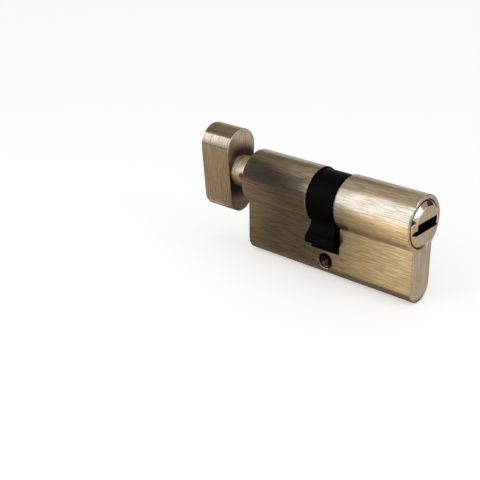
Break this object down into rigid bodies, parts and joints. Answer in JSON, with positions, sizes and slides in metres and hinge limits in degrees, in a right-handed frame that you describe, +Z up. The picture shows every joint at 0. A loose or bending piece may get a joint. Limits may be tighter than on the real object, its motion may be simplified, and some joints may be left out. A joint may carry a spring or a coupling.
{
  "type": "lock cylinder",
  "caption": "Profile lock cylinder with a key plug on one side, a thumbturn on the other, and a turning cam in the slot between them.",
  "frame": {"origin": "centre of the fixing-screw hole, half way across the leg", "axes": "+X along the plug towards the key side, +Y along the fixing-screw hole, +Z up from the leg to the barrel"},
  "size_m": [0.0795, 0.0171, 0.0382],
  "materials": {
    "brushed_nickel": "nickel-plated brass, brushed along the barrel",
    "plug_nickel": "nickel-plated brass, faced and satin",
    "turn_nickel": "nickel-plated brass, brushed sides and bright neck",
    "black_steel": "sintered steel, black oxide",
    "bright_steel": "turned steel",
    "spring_steel": "spring steel",
    "screw_steel": "zinc-plated steel",
    "pin_brass": "turned brass"
  },
  "bodies": {
    "shell": {"housing": "brushed_nickel", "chamber_plug_1": "brushed_nickel", "chamber_plug_2": "brushed_nickel", "chamber_plug_3": "brushed_nickel", "chamber_plug_4": "brushed_nickel", "chamber_plug_5": "brushed_nickel", "pin_spring_1": "spring_steel", "pin_spring_2": "spring_steel", "pin_spring_3": "spring_steel", "pin_spring_4": "spring_steel", "pin_spring_5": "spring_steel"},
    "plug": {"key_plug": "plug_nickel", "plug_clip": "spring_steel"},
    "turn": {"thumbturn": "turn_nickel", "grub_screw": "screw_steel", "knob_spindle": "bright_steel", "spindle_clip": "spring_steel"},
    "cam": {"cam": "black_steel"},
    "clutch": {"clutch": "bright_steel", "clutch_spring": "spring_steel"},
    "key_pin_1": {"key_pin_1": "pin_brass"},
    "key_pin_2": {"key_pin_2": "pin_brass"},
    "key_pin_3": {"key_pin_3": "pin_brass"},
    "key_pin_4": {"key_pin_4": "pin_brass"},
    "key_pin_5": {"key_pin_5": "pin_brass"},
    "driver_pin_1": {"driver_pin_1": "bright_steel"},
    "driver_pin_2": {"driver_pin_2": "bright_steel"},
    "driver_pin_3": {"driver_pin_3": "bright_steel"},
    "driver_pin_4": {"driver_pin_4": "bright_steel"},
    "driver_pin_5": {"driver_pin_5": "bright_steel"}
  },
  "joints": [
    {"name": "plug_turn", "type": "hinge", "parent": "shell", "child": "plug", "pos_m": [0, 0, 0.019], "axis": [1, 0, 0], "continuous": true},
    {"name": "knob_turn", "type": "hinge", "parent": "shell", "child": "turn", "pos_m": [0, 0, 0.019], "axis": [1, 0, 0], "continuous": true},
    {"name": "cam_turn", "type": "hinge", "parent": "shell", "child": "cam", "pos_m": [0, 0, 0.019], "axis": [1, 0, 0], "continuous": true},
    {"name": "clutch_slide", "type": "slide", "parent": "plug", "child": "clutch", "axis": [-1, 0, 0], "range_m": [0, 0.002], "stiffness_N_per_m": 200, "springref_m": -0.003},
    {"name": "key_pin_1_rise", "type": "slide", "parent": "plug", "child": "key_pin_1", "axis": [0, 0, 1], "range_m": [0, 0.0009]},
    {"name": "key_pin_2_rise", "type": "slide", "parent": "plug", "child": "key_pin_2", "axis": [0, 0, 1], "range_m": [0, 0.0009]},
    {"name": "key_pin_3_rise", "type": "slide", "parent": "plug", "child": "key_pin_3", "axis": [0, 0, 1], "range_m": [0, 0.0009]},
    {"name": "key_pin_4_rise", "type": "slide", "parent": "plug", "child": "key_pin_4", "axis": [0, 0, 1], "range_m": [0, 0.0009]},
    {"name": "key_pin_5_rise", "type": "slide", "parent": "plug", "child": "key_pin_5", "axis": [0, 0, 1], "range_m": [0, 0.0009]},
    {"name": "driver_pin_1_press", "type": "slide", "parent": "shell", "child": "driver_pin_1", "axis": [0, 0, -1], "range_m": [0, 0.0012], "stiffness_N_per_m": 150, "springref_m": -0.004, "deforming": ["pin_spring_1"]},
    {"name": "driver_pin_2_press", "type": "slide", "parent": "shell", "child": "driver_pin_2", "axis": [0, 0, -1], "range_m": [0, 0.0012], "stiffness_N_per_m": 150, "springref_m": -0.004, "deforming": ["pin_spring_2"]},
    {"name": "driver_pin_3_press", "type": "slide", "parent": "shell", "child": "driver_pin_3", "axis": [0, 0, -1], "range_m": [0, 0.0012], "stiffness_N_per_m": 150, "springref_m": -0.004, "deforming": ["pin_spring_3"]},
    {"name": "driver_pin_4_press", "type": "slide", "parent": "shell", "child": "driver_pin_4", "axis": [0, 0, -1], "range_m": [0, 0.0012], "stiffness_N_per_m": 150, "springref_m": -0.004, "deforming": ["pin_spring_4"]},
    {"name": "driver_pin_5_press", "type": "slide", "parent": "shell", "child": "driver_pin_5", "axis": [0, 0, -1], "range_m": [0, 0.0012], "stiffness_N_per_m": 150, "springref_m": -0.004, "deforming": ["pin_spring_5"]}
  ],
  "couplings": [
    {"joint": "cam_turn", "follows": "knob_turn", "ratio": 1}
  ]
}
